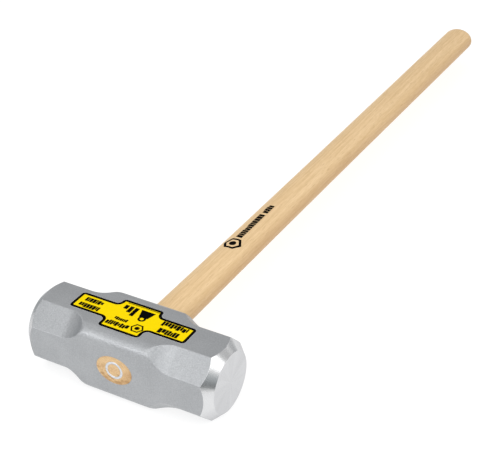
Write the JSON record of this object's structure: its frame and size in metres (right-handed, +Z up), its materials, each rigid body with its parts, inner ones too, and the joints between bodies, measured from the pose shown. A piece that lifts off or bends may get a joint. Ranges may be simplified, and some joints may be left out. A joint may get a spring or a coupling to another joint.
{
  "type": "sledgehammer",
  "caption": "Heavy long-handled sledgehammer: a double-faced forged steel head with faceted ends, wedged on a straight oval hickory handle.",
  "frame": {"origin": "centre of the flat lower cheek of the head, under the eye, so the head lies on the plane Z = 0", "axes": "+X from one striking face to the other, +Y from the eye face along the handle to the grip, +Z up through the labelled cheek"},
  "size_m": [0.2046, 0.9144, 0.0728],
  "materials": {
    "head_steel": "silver-grey satin paint with a fine grain, bright ground ends",
    "hickory": "clear-lacquered hickory",
    "wedge_wood": "sawn hardwood, end grain showing",
    "wedge_steel": "bright steel",
    "label": "semi-gloss printed yellow label with a black border"
  },
  "bodies": {
    "root": {"hammer_head": "head_steel", "handle": "hickory", "wooden_wedge": "wedge_wood", "ring_wedge": "wedge_steel", "head_label": "label"}
  },
  "joints": []
}
